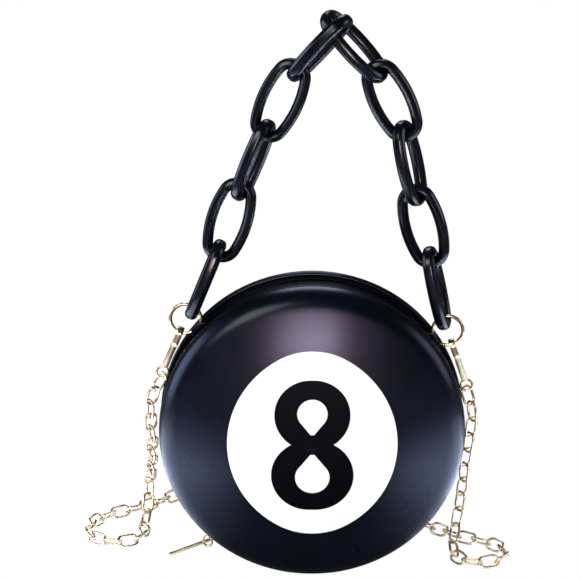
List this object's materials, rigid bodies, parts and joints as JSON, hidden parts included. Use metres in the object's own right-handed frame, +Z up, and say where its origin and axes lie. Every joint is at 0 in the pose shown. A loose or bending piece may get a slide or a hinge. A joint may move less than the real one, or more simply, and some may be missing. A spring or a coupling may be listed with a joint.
{
  "type": "round zip handbag",
  "caption": "Round zip handbag shaped like a numbered pool ball, with a chunky plastic chain handle and a clip-on gold shoulder chain.",
  "frame": {"origin": "on the ground under the middle of the bag, between its two domes", "axes": "+Z up, -Y towards the numbered front dome, +X to the right as seen from the front"},
  "size_m": [0.2585, 0.2392, 0.3347],
  "materials": {
    "black_pu": "gloss",
    "white_pu": "gloss",
    "numeral_pu": "gloss",
    "black_cloth": "matte",
    "black_nylon": "satin",
    "black_acrylic": "gloss",
    "gold_metal": "polished",
    "gold_chain": "polished"
  },
  "bodies": {
    "bag": {"rear_shell": "black_pu", "rear_lining": "black_cloth", "rear_piping": "black_pu", "rear_gusset": "black_pu", "rear_zip_tape": "black_cloth", "rear_zip_coil": "black_nylon", "lower_gusset": "black_pu", "left_ring_tab": "black_pu", "right_ring_tab": "black_pu", "zip_stops": "gold_metal", "left_clasp_eye": "gold_metal", "right_clasp_eye": "gold_metal", "strap_left": "gold_chain", "strap_left_floor": "gold_chain", "strap_behind": "gold_chain", "strap_right_floor": "gold_chain", "strap_right": "gold_chain"},
    "front": {"front_shell": "black_pu", "front_lining": "black_cloth", "front_piping": "black_pu", "front_gusset": "black_pu", "front_zip_tape": "black_cloth", "front_zip_coil": "black_nylon", "number_oval": "white_pu", "numeral_eight": "numeral_pu"},
    "slider": {"zip_slider": "gold_metal"},
    "pull": {"zip_pull": "gold_metal"},
    "left_ring": {"left_ring": "gold_metal"},
    "left_link_1": {"left_link_1": "black_acrylic"},
    "left_link_2": {"left_link_2": "black_acrylic"},
    "left_link_3": {"left_link_3": "black_acrylic"},
    "left_link_4": {"left_link_4": "black_acrylic"},
    "left_link_5": {"left_link_5": "black_acrylic"},
    "left_clasp": {"left_clasp_hook": "gold_metal"},
    "left_gate": {"left_clasp_gate": "gold_metal"},
    "right_ring": {"right_ring": "gold_metal"},
    "right_link_1": {"right_link_1": "black_acrylic"},
    "right_link_2": {"right_link_2": "black_acrylic"},
    "right_link_3": {"right_link_3": "black_acrylic"},
    "right_link_4": {"right_link_4": "black_acrylic"},
    "right_link_5": {"right_link_5": "black_acrylic"},
    "right_clasp": {"right_clasp_hook": "gold_metal"},
    "right_gate": {"right_clasp_gate": "gold_metal"}
  },
  "joints": [
    {"name": "left_ring_swing", "type": "hinge", "parent": "bag", "child": "left_ring", "pos_m": [-0.06741, 0.008, 0.14477], "axis": [-0.6428, 0, -0.766], "range_deg": [-5, 5]},
    {"name": "handle_fold", "type": "hinge", "parent": "left_ring", "child": "left_link_1", "pos_m": [-0.06914, 0.008, 0.15792], "axis": [-1, 0, 0], "range_deg": [-28, 28]},
    {"name": "left_link_2_turn", "type": "hinge", "parent": "left_link_1", "child": "left_link_2", "pos_m": [-0.05693, 0.008, 0.18815], "axis": [-1, 0, 0], "range_deg": [-0.8, 0.8]},
    {"name": "left_link_3_turn", "type": "hinge", "parent": "left_link_2", "child": "left_link_3", "pos_m": [-0.0396, 0.008, 0.23376], "axis": [-1, 0, 0], "range_deg": [-0.8, 0.8]},
    {"name": "left_link_4_turn", "type": "hinge", "parent": "left_link_3", "child": "left_link_4", "pos_m": [-0.02873, 0.008, 0.26065], "axis": [-1, 0, 0], "range_deg": [-0.8, 0.8]},
    {"name": "left_link_5_turn", "type": "hinge", "parent": "left_link_4", "child": "left_link_5", "pos_m": [-0.00536, 0.008, 0.30314], "axis": [-1, 0, 0], "range_deg": [-0.8, 0.8]},
    {"name": "right_ring_swing", "type": "hinge", "parent": "bag", "child": "right_ring", "pos_m": [0.07252, 0.008, 0.13804], "axis": [-0.5664, 0, 0.8241], "range_deg": [-5, 5]},
    {"name": "right_link_1_turn", "type": "hinge", "parent": "right_ring", "child": "right_link_1", "pos_m": [0.07686, 0.008, 0.1516], "axis": [-1, 0, 0], "range_deg": [-29, 29]},
    {"name": "right_link_2_turn", "type": "hinge", "parent": "right_link_1", "child": "right_link_2", "pos_m": [0.07008, 0.008, 0.18349], "axis": [-1, 0, 0], "range_deg": [-0.8, 0.8]},
    {"name": "right_link_3_turn", "type": "hinge", "parent": "right_link_2", "child": "right_link_3", "pos_m": [0.05944, 0.008, 0.23111], "axis": [-1, 0, 0], "range_deg": [-0.8, 0.8]},
    {"name": "right_link_4_turn", "type": "hinge", "parent": "right_link_3", "child": "right_link_4", "pos_m": [0.05341, 0.008, 0.25948], "axis": [-1, 0, 0], "range_deg": [-0.8, 0.8]},
    {"name": "right_link_5_turn", "type": "hinge", "parent": "right_link_4", "child": "right_link_5", "pos_m": [0.0334, 0.008, 0.30321], "axis": [-1, 0, 0], "range_deg": [-0.8, 0.8]},
    {"name": "zip_travel", "type": "hinge", "parent": "bag", "child": "slider", "pos_m": [0, -0.0075, 0.0882], "axis": [0, 1, 0], "range_deg": [0, 263]},
    {"name": "front_open", "type": "hinge", "parent": "bag", "child": "front", "pos_m": [0, -0.0225, 0], "axis": [1, 0, 0], "range_deg": [0, 40.5], "deforming": ["lower_gusset"]},
    {"name": "pull_swing", "type": "hinge", "parent": "slider", "child": "pull", "pos_m": [-0.05695, -0.0075, 0.01787], "axis": [0, 1, 0], "range_deg": [-10, 40]},
    {"name": "left_clasp_swivel", "type": "hinge", "parent": "bag", "child": "left_clasp", "pos_m": [-0.08673, 0.008, 0.12128], "axis": [0.3907, 0, 0.9205], "range_deg": [-12, 12]},
    {"name": "left_gate_press", "type": "hinge", "parent": "left_clasp", "child": "left_gate", "pos_m": [-0.08091, 0.01135, 0.13499], "axis": [0.9205, 0, -0.3907], "range_deg": [0, 16], "stiffness_Nm_per_rad": 0.002, "springref_deg": -11.46},
    {"name": "right_clasp_swivel", "type": "hinge", "parent": "bag", "child": "right_clasp", "pos_m": [0.09029, 0.008, 0.11307], "axis": [-0.3256, 0, 0.9455], "range_deg": [-12, 12]},
    {"name": "right_gate_press", "type": "hinge", "parent": "right_clasp", "child": "right_gate", "pos_m": [0.08544, 0.01135, 0.12716], "axis": [0.9455, 0, 0.3256], "range_deg": [0, 16], "stiffness_Nm_per_rad": 0.002, "springref_deg": -11.46}
  ],
  "couplings": [
    {"joint": "left_ring_swing", "follows": "handle_fold", "ratio": 0.03},
    {"joint": "left_link_2_turn", "follows": "handle_fold", "ratio": 0.02},
    {"joint": "left_link_3_turn", "follows": "handle_fold", "ratio": 0.02},
    {"joint": "left_link_4_turn", "follows": "handle_fold", "ratio": 0.02},
    {"joint": "left_link_5_turn", "follows": "handle_fold", "ratio": 0.02},
    {"joint": "right_ring_swing", "follows": "handle_fold", "ratio": 0.03},
    {"joint": "right_link_1_turn", "follows": "handle_fold", "ratio": 0.965},
    {"joint": "right_link_2_turn", "follows": "handle_fold", "ratio": 0.02},
    {"joint": "right_link_3_turn", "follows": "handle_fold", "ratio": 0.02},
    {"joint": "right_link_4_turn", "follows": "handle_fold", "ratio": 0.02},
    {"joint": "right_link_5_turn", "follows": "handle_fold", "ratio": 0.02},
    {"joint": "front_open", "follows": "zip_travel", "ratio": 0.15209}
  ]
}
